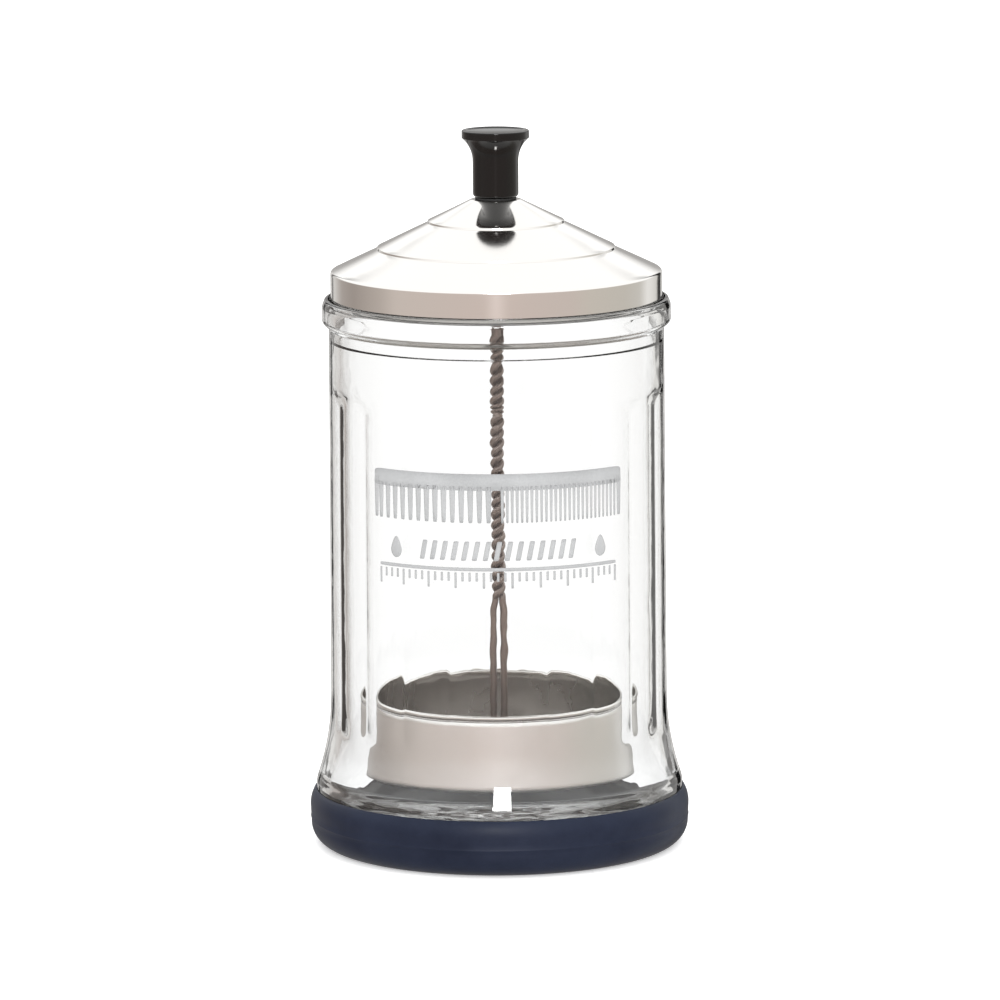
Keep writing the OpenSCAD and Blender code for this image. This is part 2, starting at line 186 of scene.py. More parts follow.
def turned(name, profile, materials, turns=192, looped=False, shape=None, pick=None, across=None):
    """A profile turned round an axis.

    Point (i, j) lies at the profile's radius i and height i, at angle 2 pi j / turns. An open
    profile starts and ends on the axis, where it closes in a single point. A looped one closes on
    itself. shape(radius, height, angle) may move the points, and pick(radius, height) gives each
    face its material number from the middle of its profile step. across gives the height at which
    the axis lies level, along X, instead of upright.
    """
    profile = np.asarray(profile, float)
    angle = np.arange(turns) * 2 * np.pi / turns
    rings = profile if looped else profile[1:-1]
    r, z, a = [g.copy() for g in np.broadcast_arrays(rings[:, :1], rings[:, 1:], angle[None])]
    if shape:
        r, z = shape(r, z, a)
    verts = np.stack([r * np.cos(a), r * np.sin(a), z], -1).reshape(-1, 3)
    along = np.concatenate([[0], np.cumsum(np.linalg.norm(np.diff(profile, axis=0), axis=1))])
    ring_along = along if looped else along[1:-1]
    uv = np.stack(np.broadcast_arrays(angle / (2 * np.pi), ring_along[:, None] / 100), -1).reshape(-1, 2)
    n = len(rings)
    quads = strip_faces(n, turns, looped, True)
    tris = np.zeros((0, 3), int)
    mids = rings if looped else rings[:-1]
    nexts = np.roll(rings, -1, 0) if looped else rings[1:]
    step_mid = np.repeat((mids + nexts) / 2, turns, 0)
    if not looped:
        j = np.arange(turns)
        k = (j + 1) % turns
        first, last = n * turns, n * turns + 1
        verts = np.concatenate([verts, [[0, 0, profile[0, 1]], [0, 0, profile[-1, 1]]]])
        uv = np.concatenate([uv, [[0, 0], [0, along[-1] / 100]]])
        low = np.column_stack([np.full(turns, first), k, j])
        high = np.column_stack([np.full(turns, last), (n - 1) * turns + j, (n - 1) * turns + k])
        tris = np.concatenate([low, high])
        ends = np.repeat([profile[1] / 2 + profile[0] / 2, profile[-2] / 2 + profile[-1] / 2], turns, 0)
        step_mid = np.concatenate([step_mid, ends])
    which = pick(step_mid[:, 0], step_mid[:, 1]) if pick else None
    if across is not None:
        verts = verts[:, [2, 0, 1]] + (0, 0, across)
    return mesh_object(name, verts, quads, tris, materials, uv, which)


def tube(name, path, radius, sides, materials):
    """A round bar swept along a path, with a domed end at each end of it.

    Ring i has its centre on path point i. Its plane is square to the path there, with one axis as
    near to +Y as the plane allows. The radius falls to nothing as a quarter circle at the ends.
    """
    path = np.asarray(path, float)
    run = np.gradient(path, axis=0)
    run /= np.linalg.norm(run, axis=1, keepdims=True)
    side = np.array([0, 1.0, 0]) - run * run[:, 1:2]
    side /= np.linalg.norm(side, axis=1, keepdims=True)
    other = np.cross(run, side)
    from_start = np.concatenate([[0], np.cumsum(np.linalg.norm(np.diff(path, axis=0), axis=1))])
    near = np.minimum(from_start, from_start[-1] - from_start)
    grown = radius * np.sqrt(1 - np.clip(1 - near / radius, 0, 0.9999) ** 2)
    a = np.arange(sides) * 2 * np.pi / sides
    ring = np.cos(a)[None, :, None] * side[:, None] + np.sin(a)[None, :, None] * other[:, None]
    verts = (path[:, None] + grown[:, None, None] * ring).reshape(-1, 3)
    quads = strip_faces(len(path), sides, False, True)
    j = np.arange(sides)
    k, last = (j + 1) % sides, (len(path) - 1) * sides
    tris = np.concatenate([
        np.column_stack([np.full(sides, len(verts)), k, j]),
        np.column_stack([np.full(sides, len(verts) + 1), last + j, last + k]),
    ])
    verts = np.concatenate([verts, path[:1], path[-1:]])
    uv = np.stack(np.broadcast_arrays(a / (2 * np.pi), from_start[:, None] / 100), -1).reshape(-1, 2)
    uv = np.concatenate([uv, [[0, 0], [0, from_start[-1] / 100]]])
    return mesh_object(name, verts, quads, tris, materials, uv)


def patches(name, centre_u, centre_v, half_u, half_v, outline, radius_at, materials, rings=4, spokes=24):
    """Flat printed shapes laid on the round wall of the glass, all in one mesh.

    Each shape is a fan of rings about its centre. At spoke angle a, outline(a) gives the edge as a
    pair of shares of the half width and half height, and ring k lies k / rings of the way there.
    u runs round the wall from the front, to the right, and v is height. radius_at(v) is the wall.
    """
    centre_u, centre_v, half_u, half_v = [
        np.asarray(x, float).ravel()[:, None, None]
        for x in np.broadcast_arrays(centre_u, centre_v, half_u, half_v)
    ]
    a = np.arange(spokes) * 2 * np.pi / spokes
    edge_u, edge_v = outline(a)
    share = (np.arange(1, rings + 1) / rings)[:, None]
    u = centre_u + half_u * (share * edge_u[None])[None]
    v = centre_v + half_v * (share * edge_v[None])[None]
    n = len(centre_u)
    u = np.concatenate([u.reshape(n, -1), centre_u[:, :, 0]], 1)
    v = np.concatenate([v.reshape(n, -1), centre_v[:, :, 0]], 1)
    r = radius_at(v)
    t = u / r - np.pi / 2
    verts = np.stack([r * np.cos(t), r * np.sin(t), v], -1).reshape(-1, 3)
    each = rings * spokes + 1
    q = strip_faces(rings, spokes, False, True)
    j = np.arange(spokes)
    f = np.column_stack([np.full(spokes, each - 1), j, (j + 1) % spokes])
    base = (np.arange(n) * each)[:, None, None]
    quads = (base + q[None, :, [0, 3, 2, 1]]).reshape(-1, 4)
    tris = (base + f[None]).reshape(-1, 3)
    return mesh_object(name, verts, quads, tris, materials, np.stack([u, v], -1).reshape(-1, 2) / 100)


def ribbon(name, half_u, centre_v, half_v, radius_at, materials, columns=160):
    """One long printed bar round the wall, with round ends: a grid of columns and three rows.

    Column x, from -1 to 1, lies at x times the half length, and its rows reach half_v times the
    sixth root of 1 - |x| to the power 40, so that only the last few columns draw in.
    """
    x = np.sin(np.linspace(-np.pi / 2, np.pi / 2, columns))[1:-1, None]
    v = centre_v + half_v * (1 - np.abs(x) ** 40) ** (1 / 6) * np.array([[-1.0, 0, 1]])
    r = radius_at(v)
    t = x * half_u / r - np.pi / 2
    verts = np.stack([r * np.cos(t), r * np.sin(t), v], -1).reshape(-1, 3)
    uv = np.stack(np.broadcast_arrays(x * half_u, v), -1).reshape(-1, 2) / 100
    quads = strip_faces(columns - 2, 3, False, False)[:, [0, 3, 2, 1]]
    return mesh_object(name, verts, quads, [], materials, uv)


# ---------------------------------------------------------------- finishes


def linear(code):
    """A colour's sRGB hex code as linear red, green and blue."""
    c = np.array([int(code[i:i + 2], 16) for i in (1, 3, 5)]) / 255
    return tuple(np.where(c <= 0.04045, c / 12.92, ((c + 0.055) / 1.055) ** 2.4).tolist())


def rgba(colour):
    """A red, green and blue triple with full alpha added."""
    return (*tuple(colour)[:3], 1.0)


def add(tree, kind, inputs=None, **settings):
    """Adds one shader node. Inputs that are sockets are linked, and other values are set."""
    made = tree.nodes.new("ShaderNode" + kind)
    for key, value in settings.items():
        setattr(made, key, value)
    for key, value in (inputs or {}).items():
        if isinstance(value, bpy.types.NodeSocket):
            tree.links.new(value, made.inputs[key])
        else:
            made.inputs[key].default_value = value
    return made


def finish(name, build):
    """A new material whose node tree build(tree) fills. build returns the surface shader's socket."""
    material = bpy.data.materials.new(name)
    material.use_nodes = True
    tree = material.node_tree
    tree.nodes.clear()
    surface = build(tree)
    add(tree, "OutputMaterial", {"Surface": surface})
    return material


def stops(node, pairs):
    """Sets a colour ramp's stops from pairs of place and grey level or colour."""
    ramp = node.color_ramp
    while len(ramp.elements) < len(pairs):
        ramp.elements.new(0.5)
    for element, (place, value) in zip(ramp.elements, pairs):
        element.position = place
        element.color = rgba(value) if np.ndim(value) else (value, value, value, 1)
    return node.outputs["Color"]


def refinish(node, material):
    """Gives a CAD node that keeps its own mesh a better material."""
    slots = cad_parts[node].data.materials
    slots.clear()
    slots.append(material)


def pressed_glass(looks):
    """Clear pressed soda-lime glass: IOR 1.52, fire-polished, with faint mould ripple all over.

    The ripple is about 9 mm long and only bends the highlights. The ring that the jar stands on
    has a moulded stipple of grains about 1.1 mm apart, which scatters light in the foot.
    """

    def build(tree):
        at = add(tree, "TexCoord").outputs["Object"]
        ripple = add(tree, "TexNoise", {"Vector": at, "Scale": 110.0, "Detail": 1.5})
        grain = add(tree, "TexVoronoi", {"Vector": at, "Scale": 900.0}, feature="SMOOTH_F1")
        z = add(tree, "SeparateXYZ", {"Vector": at}).outputs["Z"]
        foot = add(tree, "MapRange", {
            "Value": z, "From Min": (GLASS_FOOT + 0.6) * MM, "From Max": (GLASS_FOOT + 0.2) * MM})
        stipple = add(tree, "Math", {0: grain.outputs["Distance"], 1: foot.outputs["Result"]},
                      operation="MULTIPLY")
        first = add(tree, "Bump", {
            "Height": ripple.outputs["Fac"], "Strength": 0.25, "Distance": 0.0004})
        second = add(tree, "Bump", {
            "Height": stipple.outputs["Value"], "Strength": 0.6, "Distance": 0.0005,
            "Normal": first.outputs["Normal"]})
        return add(tree, "BsdfPrincipled", {
            "Base Color": rgba(looks.glass), "Transmission Weight": 1.0, "Roughness": 0.0,
            "IOR": 1.52, "Normal": second.outputs["Normal"]}).outputs["BSDF"]

    return finish("Clear pressed soda-lime glass", build)


def fired_enamel(looks):
    """Fired ceramic enamel, screen printed: a matt pale grey with a fine 0.4 mm screen mottle."""

    def build(tree):
        at = add(tree, "TexCoord").outputs["Object"]
        mottle = add(tree, "TexNoise", {"Vector": at, "Scale": 2500.0, "Detail": 2.0})
        cloud = add(tree, "TexNoise", {"Vector": at, "Scale": 90.0, "Detail": 2.0})
        mixed = add(tree, "Math", {0: mottle.outputs["Fac"], 1: cloud.outputs["Fac"]}, operation="ADD")
        low, high = np.array(looks.enamel) * 0.88, np.minimum(np.array(looks.enamel) * 1.1, 1)
        ramp = add(tree, "ValToRGB", {"Fac": add(tree, "Math", {
            0: mixed.outputs["Value"], 1: 0.5}, operation="MULTIPLY").outputs["Value"]})
        colour = stops(ramp, [(0.35, low), (0.65, high)])
        bump = add(tree, "Bump", {"Height": mottle.outputs["Fac"], "Strength": 0.3, "Distance": 0.00005})
        return add(tree, "BsdfPrincipled", {
            "Base Color": colour, "Roughness": 0.6, "IOR": 1.5,
            "Normal": bump.outputs["Normal"]}).outputs["BSDF"]

    return finish("Fired ceramic enamel print", build)


def steel(name, colour, rough, line_gap, line_depth, smudge=0.04, anisotropic=0.0, along_rings=True):
    """Stainless steel with fine tool lines.

    line_gap is the lines' spacing in millimetres, along the profile for a turned piece and round
    it for a rubbed one. Smudges about 12 mm across change the roughness a little, as handling does.
    """

    def build(tree):
        place = add(tree, "TexCoord")
        uv = add(tree, "SeparateXYZ", {"Vector": place.outputs["UV"]})
        along = uv.outputs["Y" if along_rings else "X"]
        lines = add(tree, "TexNoise", {"W": along, "Scale": 100.0 / line_gap, "Detail": 3.0,
                                       "Roughness": 0.7}, noise_dimensions="1D")
        hands = add(tree, "TexNoise", {"Vector": place.outputs["Object"], "Scale": 80.0, "Detail": 4.0})
        roughness = add(tree, "MapRange", {
            "Value": hands.outputs["Fac"], "From Min": 0.35, "From Max": 0.7,
            "To Min": rough, "To Max": rough + smudge})
        bump = add(tree, "Bump", {
            "Height": lines.outputs["Fac"], "Strength": 0.5, "Distance": line_depth * MM})
        shader = {
            "Base Color": rgba(colour), "Metallic": 1.0, "Roughness": roughness.outputs["Result"],
            "Normal": bump.outputs["Normal"]}
        if anisotropic:
            shader["Anisotropic"] = anisotropic
            shader["Tangent"] = add(tree, "Tangent", direction_type="UV_MAP",
                                    uv_map="surface").outputs["Tangent"]
        return add(tree, "BsdfPrincipled", shader).outputs["BSDF"]

    return finish(name, build)


def plain_metal(name, colour, rough):
    """A small turned or pressed fitting: fine scratches 0.3 mm apart and a little tarnish."""

    def build(tree):
        at = add(tree, "TexCoord").outputs["Object"]
        scratch = add(tree, "TexNoise", {"Vector": at, "Scale": 3300.0, "Detail": 2.0})
        darkening = add(tree, "TexNoise", {"Vector": at, "Scale": 260.0, "Detail": 3.0})
        dull = tuple(np.array(colour) * 0.72)
        ramp = add(tree, "ValToRGB", {"Fac": darkening.outputs["Fac"]})
        tint = stops(ramp, [(0.3, dull), (0.62, colour)])
        bump = add(tree, "Bump", {
            "Height": scratch.outputs["Fac"], "Strength": 0.25, "Distance": 0.00003})
        return add(tree, "BsdfPrincipled", {
            "Base Color": tint, "Metallic": 1.0, "Roughness": rough,
            "Normal": bump.outputs["Normal"]}).outputs["BSDF"]

    return finish(name, build)


def moulded_rubber(looks):
    """Moulded navy rubber: satin, with a 0.5 mm eggshell grain and a paler bloom in patches."""

    def build(tree):
        at = add(tree, "TexCoord").outputs["Object"]
        grain = add(tree, "TexNoise", {"Vector": at, "Scale": 2000.0, "Detail": 2.0})
        bloom = add(tree, "TexNoise", {"Vector": at, "Scale": 45.0, "Detail": 5.0, "Roughness": 0.65})
        ramp = add(tree, "ValToRGB", {"Fac": bloom.outputs["Fac"]})
        deep = np.array(looks.rubber)
        colour = stops(ramp, [(0.35, deep * 0.85), (0.7, deep * 1.2 + 0.004)])
        roughness = add(tree, "MapRange", {
            "Value": bloom.outputs["Fac"], "From Min": 0.3, "From Max": 0.7,
            "To Min": 0.36, "To Max": 0.5})
        bump = add(tree, "Bump", {"Height": grain.outputs["Fac"], "Strength": 0.35, "Distance": 0.00008})
        return add(tree, "BsdfPrincipled", {
            "Base Color": colour, "Roughness": roughness.outputs["Result"], "IOR": 1.5,
            "Specular IOR Level": 0.2, "Normal": bump.outputs["Normal"]}).outputs["BSDF"]

    return finish("Moulded navy rubber", build)


def phenolic(looks):
    """Gloss black moulded phenolic: a polished skin with faint 7 mm flow marks and hairlines."""

    def build(tree):
        at = add(tree, "TexCoord").outputs["Object"]
        flow = add(tree, "TexNoise", {"Vector": at, "Scale": 140.0, "Detail": 2.0})
        hair = add(tree, "TexNoise", {"Vector": at, "Scale": 2600.0, "Detail": 3.0})
        roughness = add(tree, "MapRange", {
            "Value": hair.outputs["Fac"], "From Min": 0.4, "From Max": 0.75,
            "To Min": 0.07, "To Max": 0.16})
        bump = add(tree, "Bump", {"Height": flow.outputs["Fac"], "Strength": 0.2, "Distance": 0.0002})
        return add(tree, "BsdfPrincipled", {
            "Base Color": rgba(looks.knob), "Roughness": roughness.outputs["Result"], "IOR": 1.52,
            "Specular IOR Level": 0.36, "Normal": bump.outputs["Normal"]}).outputs["BSDF"]

    return finish("Gloss black phenolic", build)


def fibre(looks):
    """Pressed black fibre: matt, with short 0.6 mm strands showing in it."""

    def build(tree):
        at = add(tree, "TexCoord").outputs["Object"]
        strands = add(tree, "TexNoise", {
            "Vector": at, "Scale": 1600.0, "Detail": 4.0, "Distortion": 1.5})
        ramp = add(tree, "ValToRGB", {"Fac": strands.outputs["Fac"]})
        dark = np.array(looks.knob)
        colour = stops(ramp, [(0.4, dark + 0.006), (0.7, dark + 0.03)])
        bump = add(tree, "Bump", {"Height": strands.outputs["Fac"], "Strength": 0.5, "Distance": 0.0001})
        return add(tree, "BsdfPrincipled", {
            "Base Color": colour, "Roughness": 0.8, "Normal": bump.outputs["Normal"]}).outputs["BSDF"]

    return finish("Black vulcanised fibre", build)


# ---------------------------------------------------------------- settings


class JarSizes(bpy.types.PropertyGroup):
    """Sizes of the jar that a user may change without moving its fits."""

    body_radius: FloatProperty(
        name="Body radius", description="Outside radius of the glass under its rim",
        default=0.04875, unit="LENGTH")
    ridge_radius: FloatProperty(
        name="Ridge radius", description="Radius of the ridges between the flutes inside",
        default=0.04513, unit="LENGTH")
    flute_count: IntProperty(
        name="Flutes", description="Number of flutes round the inside wall", default=20, min=8, max=40)
    flute_depth: FloatProperty(
        name="Flute depth", description="Depth of each flute", default=0.0006, unit="LENGTH")
    flute_top: FloatProperty(
        name="Flute top", description="Height of the tops of the flutes' arches",
        default=0.13475, unit="LENGTH")
    twist_turns: IntProperty(
        name="Turns", description="Turns in the lifter wire's twist", default=15, min=2, max=20)


class JarLooks(bpy.types.PropertyGroup):
    """Colours of the jar's finishes."""

    glass: FloatVectorProperty(
        name="Glass", description="Tint of the glass", subtype="COLOR", default=linear("#fdfefe"))
    enamel: FloatVectorProperty(
        name="Enamel", description="Printed marks on the glass", subtype="COLOR",
        default=linear("#9b9c9d"))
    rubber: FloatVectorProperty(
        name="Rubber", description="The boot", subtype="COLOR", default=linear("#131b2e"))
    knob: FloatVectorProperty(
        name="Knob", description="The knob", subtype="COLOR", default=linear("#040303"))
    lid: FloatVectorProperty(
        name="Lid", description="The lid's steel", subtype="COLOR", default=linear("#e6e4e1"))
    basket: FloatVectorProperty(
        name="Basket", description="The basket's steel", subtype="COLOR", default=linear("#f4f2f0"))
    wire: FloatVectorProperty(
        name="Wire", description="The lifter's wire", subtype="COLOR", default=linear("#928680"))


# ---------------------------------------------------------------- pieces


def wall_profile(sizes):
    """The outside of the glass, from the middle of its underside up to its lip, in millimetres.

    The flare is an arc that leaves the wall upright at 45 mm and swells 4.1 mm over 24.8 mm.
    """
    body, foot = sizes.body_radius / MM, sizes.body_radius / MM + 4.85
    low = rounded([
        (0, GLASS_FOOT + 1.2, 0), (30.8, GLASS_FOOT + 1.2, 1.0), (32.2, GLASS_FOOT, 0.8),
        (foot, GLASS_FOOT, 4.2), (foot, GLASS_FOOT + 16.35, 5.0), (foot - 0.3, GLASS_FOOT + 17.2, 0)])
    top, drop, swell = body + WALL_DRAFT, 24.8, 4.1
    r = (drop ** 2 + swell ** 2) / (2 * swell)
    t = np.linspace(math.asin(drop / r), 0, 24)
    flare = np.column_stack([top + r * (1 - np.cos(t)), GLASS_FOOT + FLARE_TOP - r * np.sin(t)])
    rim = rounded([
        (body + 0.02, GLASS_TOP - RIM_SKIRT, 0), (body, GLASS_TOP - 8.7, 0.7),
        (body + 0.5, GLASS_TOP - 7.9, 0.6),
        (body + 1.95, GLASS_TOP - 7.1, 1.5), (body + 1.95, GLASS_TOP - 2.2, 2.4),
        (body + 1.15, GLASS_TOP, 0.9), (body - 0.1, GLASS_TOP, 0)], 8)
    return np.concatenate([low, flare, rim])


def bore_profile(sizes):
    """The inside of the glass without its flutes, from the lip down to the middle of the floor.

    The wall widens above the flutes as the square of the height, and flares below them.
    """
    body, ridge = sizes.body_radius / MM, sizes.ridge_radius / MM
    neck = ridge + sizes.flute_depth / MM + 0.1
    top = sizes.flute_top / MM
    lip = rounded([
        (body + 0.3, GLASS_TOP, 0), (body - 0.25, GLASS_TOP, 0.5), (body - 0.25, GLASS_TOP - 2, 0.3),
        (neck + 0.45, GLASS_TOP - 2, 0.9), (neck + 0.45, GLASS_TOP - 11.8, 0.5),
        (neck, GLASS_TOP - 12.4, 0.5), (neck, top + 2, 0)])
    t = np.linspace(1, 0, 14)
    arch = np.column_stack([ridge + (neck - ridge) * t ** 2, top + 7.5 * (1.05 * t - 1)])
    drop, swell = 20.5, body + 1.45 - ridge
    r = (drop ** 2 + swell ** 2) / (2 * swell)
    t = np.linspace(0, math.asin(drop / r), 20)
    flare = np.column_stack([ridge + r * (1 - np.cos(t)), GLASS_FOOT + BORE_FLARE_TOP - r * np.sin(t)])
    heel_r = 10
    heel = arc(body - 8.4, GLASS_FOOT + GLASS_FLOOR + heel_r, heel_r, 0, -90, 18)
    floor = np.column_stack([np.linspace(body - 9, 0, 26), np.full(26, GLASS_FOOT + GLASS_FLOOR)])
    return np.concatenate([lip, arch, flare, heel, floor])


def outside_radius(sizes):
    """A function that gives the glass's outside radius at a height between the flare and the rim."""
    body = sizes.body_radius / MM
    skirt = GLASS_TOP - RIM_SKIRT
    return lambda v: body + WALL_DRAFT * (skirt - v) / (skirt - GLASS_FOOT - FLARE_TOP) + 0.02


class JAR_OT_glass(bpy.types.Operator):
    """Presses the glass: a thick foot, a plain rim and arched flutes round the inside wall"""

    bl_idname = "disinfectant_jar.glass"
    bl_label = "Glass"

    def execute(self, context):
        sizes, looks = context.scene.jar_sizes, context.scene.jar_looks
        outer = dense(wall_profile(sizes), 2.6)
        inner = dense(bore_profile(sizes), 1.9)
        profile = np.concatenate([outer, inner])
        is_inner = (np.arange(len(profile)) >= len(outer))[1:-1, None]
        ridge, groove = sizes.ridge_radius / MM, (sizes.ridge_radius + sizes.flute_depth) / MM
        count = sizes.flute_count
        cusp = ridge + 0.1
        sag = groove - cusp * math.cos(math.pi / count)
        cut = ((cusp * math.sin(math.pi / count)) ** 2 + sag ** 2) / (2 * sag)

        def flutes(r, z, a):
            """The inside is the larger of the plain wall and the flute's round groove, eased
            together over 0.06 mm. The groove's wall is the far side of a circle of radius cut. The
            front, back and side ridges are replaced by flat lands 15 degrees wide.
            Mould ripple of a few hundredths of a millimetre is a sum of slow sines."""
            step = 2 * np.pi / count
            off = (a + np.pi / 2) % step - step / 2
            axis = groove - cut
            groove_r = axis * np.cos(off) + np.sqrt(cut ** 2 - (axis * np.sin(off)) ** 2)
            half = (r - groove_r) / 2
            eased = (r + groove_r) / 2 + np.sqrt(half ** 2 + 0.0036)
            in_wall = is_inner & (z > GLASS_FOOT + 20) & (z < GLASS_TOP - 14)
            front = np.exp(-(((a + np.pi / 4) % (np.pi / 2) - np.pi / 4) / 0.135) ** 6)
            land = np.maximum(r, groove - 0.06)
            new = np.where(in_wall, eased + (land - eased) * front, r)
            ripple = 0.02 * np.sin(3 * a + z / 17) + 0.01 * np.sin(7 * a - z / 9 + 1.3)
            new = new + np.where(is_inner & (z > GLASS_FOOT + 12) & (z < GLASS_TOP - 5), ripple, 0)
            floor = is_inner & (z < GLASS_FOOT + GLASS_FLOOR + 0.1) & (r < 43)
            swirl = 0.16 * np.sin(r / 2.3 + 1.5 * np.sin(2 * a)) + 0.1 * np.sin(r / 1.1 + 3 * np.sin(a))
            return new, z + np.where(floor, swirl * np.clip((43 - r) / 8, 0, 1), 0)

        obj = turned("glass_body", profile, [pressed_glass(looks)], count * 22, shape=flutes)
        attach(obj, "jar")
        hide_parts("glass_jar")
        return {"FINISHED"}


class JAR_OT_print(bpy.types.Operator):
    """Prints the front of the glass: a comb, a row of bars between two drops, and a tick scale"""

    bl_idname = "disinfectant_jar.print"
    bl_label = "Printed marks"

    def execute(self, context):
        sizes, looks = context.scene.jar_sizes, context.scene.jar_looks
        outside = outside_radius(sizes)
        wall = lambda v: outside(v) - PRINT_SINK
        enamel = fired_enamel(looks)

        def block(a, power=0.22):
            """A rounded oblong: cosine and sine, each raised to a small power, keeping its sign."""
            c, s = np.cos(a), np.sin(a)
            return np.sign(c) * np.abs(c) ** power, np.sign(s) * np.abs(s) ** power

        def slanted(a):
            """A rounded oblong that leans to the right as it rises."""
            u, v = block(a)
            return u + 0.75 * v, v

        def tooth(a):
            """A rounded oblong that narrows by a third towards its lower end."""
            u, v = block(a)
            return u * (0.83 + 0.17 * v), v

        def drop(a):
            """A drop with its point up: a circle whose upper half narrows with height."""
            s = np.sin(a)
            u = np.cos(a) * np.where(s > 0, 1 - np.abs(s) ** 0.9 * 0.35, 1)
            return u, np.where(s > 0, s * 1.5, s) / 1.25 - 0.1

        coarse = np.arange(14) * 2.62 - 36.7
        fine = np.arange(26) * 1.42 + 1.3
        bars = np.arange(15) * 3.14 - 22.0
        tick = np.arange(37)
        long_tick = tick % 4 == 0
        # name, middles along the wall, middle heights, half widths, half heights, outline, rings, spokes
        jobs = [
            ("print_comb_ends", [-38.5, 38.5], [108.6, 108.6], [0.9, 0.9], [5.9, 5.9], tooth, 1, 32),
            ("print_comb_coarse", coarse, [107.9], [0.92], [5.3], tooth, 1, 24),
            ("print_comb_fine", fine, [107.9], [0.5], [5.3], tooth, 1, 20),
            ("print_bars", bars, [94.5], [0.74], [2.8], slanted, 1, 24),
            ("print_drops", [-31.2, 31.4], [94.2, 94.2], [1.9, 1.9], [3.1, 3.1], drop, 3, 32),
            ("print_ticks", tick * 2.05 - 36.9, np.where(long_tick, 86.0, 87.0), [0.36],
             np.where(long_tick, 2.3, 1.3), block, 1, 16),
        ]
        marks = [patches(name, u, v, hu, hv, outline, wall, [enamel], rings + 1, spokes)
                 for name, u, v, hu, hv, outline, rings, spokes in jobs]
        marks.append(ribbon("print_comb_back", 39.3, 114.4, 2.4, wall, [enamel]))
        marks.append(ribbon("print_fill_line", 37.2, 89.2, 0.5, wall, [enamel]))
        for obj in marks:
            skin = obj.modifiers.new("Ink", "SOLIDIFY")
            skin.thickness = INK * MM
            skin.offset = 1
            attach(obj, "jar")
        return {"FINISHED"}


class JAR_OT_boot(bpy.types.Operator):
    """Moulds the rubber boot, with its parting line and the ring that it stands on"""

    bl_idname = "disinfectant_jar.boot"
    bl_label = "Rubber boot"

    def execute(self, context):
        lip = height_of("rubber_boot", True)
        over, lean = lip - 12, 1.5
        swing = (over ** 2 + lean ** 2) / (2 * lean)
        side = arc(48.3, 7, 7, -90, -2, 18)
        flash = np.array([(55.33, 8.15), (55.44, 8.3), (55.47, 8.42), (55.44, 8.54), (55.37, 8.7)])
        waist = arc(55.5 - swing, 12, swing, 0, math.degrees(math.asin((over - 0.25) / swing)), 12)
        floor = 3.0
        inside = rounded([(54.02, lip - 0.2, 0), (53.95, lip, 0.15), (53.66, lip, 0.12),
                          (53.65, floor, 4.2), (0, floor, 0)])
        under = rounded([
            (0, 0.8, 0), (36, 0.8, 0), (36.6, 0.45, 0.2), (37.6, 0.45, 0.2), (38.2, 0.8, 0.2),
            (41.7, 0.8, 0.4), (42.5, 0.0, 0.4), (48.3, 0, 0)])
        profile = dense(np.concatenate([under, side, flash, waist, inside]), 2.2)
        obj = turned("boot_body", profile, [moulded_rubber(context.scene.jar_looks)], 288)
        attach(obj, "jar")
        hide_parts("rubber_boot")
        return {"FINISHED"}


def lid_corners(inset):
    """The lid's outline from its lower edge up to its hole, moved in by inset millimetres."""
    fall = math.tan(CONE_SLOPE)
    slant = inset / math.cos(CONE_SLOPE)
    upper = LID_TOP - 12.6 * fall
    lower = upper - LID_STEP - 14.35 * fall
    band = LID_EDGE + LID_BAND
    soft = 0.14
    return [
        (LID_RADIUS - inset, LID_EDGE, 0), (LID_RADIUS - inset, band - slant * 0.75, 1.1),
        (34.62, lower - LID_STEP - slant, soft), (34.5, lower - slant, soft),
        (19.92, upper - LID_STEP - slant, soft), (19.8, upper - slant, soft),
        (7.2 - inset * 0.23, LID_TOP - inset, 1.2), (2.58, LID_TOP - inset, 0)]


class JAR_OT_lid(bpy.types.Operator):
    """Spins the steel lid: a polished cone in three tiers and a satin upright band"""

    bl_idname = "disinfectant_jar.lid"
    bl_label = "Lid"

    def execute(self, context):
        looks = context.scene.jar_looks
        sheet = 0.7
        outer = dense(rounded(lid_corners(0), 5), 1.6)
        inner = dense(rounded(lid_corners(sheet), 5), 1.6)[::-1]
        profile = np.concatenate([outer, inner])
        profile[0] += (-0.12, 0)
        profile = np.insert(profile, 1, (LID_RADIUS, LID_EDGE + 0.15), 0)

        def hand_spun(r, z, a):
            """The sheet waves up and down by a few hundredths of a millimetre as it goes round."""
            wave = 0.03 * np.sin(r / 3.1) + 0.025 * np.sin(2 * a + r / 9) * np.clip(r / 30, 0, 1)
            return r, z + np.where(r < 46, wave, 0)

        def zone(r, z):
            """0 for the cone, 1 for the upright band and 2 for the inside."""
            cone = LID_TOP - 0.35 - (r - 7.2).clip(0) * math.tan(CONE_SLOPE) - 1.1
            inside = (z < cone) & (r < 47.7)
            return np.where(inside, 2, np.where((r > 47.9) & (z < LID_EDGE + 9.2), 1, 0))

        mats = [
            steel("Mirror-polished spun stainless steel", looks.lid, 0.07, 0.35, 0.002, 0.05),
            steel("Satin stainless steel band", looks.lid, 0.09, 0.25, 0.0015, 0.05, 0.3),
            steel("Unpolished spun stainless steel", looks.lid, 0.28, 0.6, 0.01, 0.08),
        ]
        obj = turned("lid_spun", profile, mats, 320, True, hand_spun, zone)
        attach(obj, "lid")
        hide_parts("lid_shell")
        return {"FINISHED"}


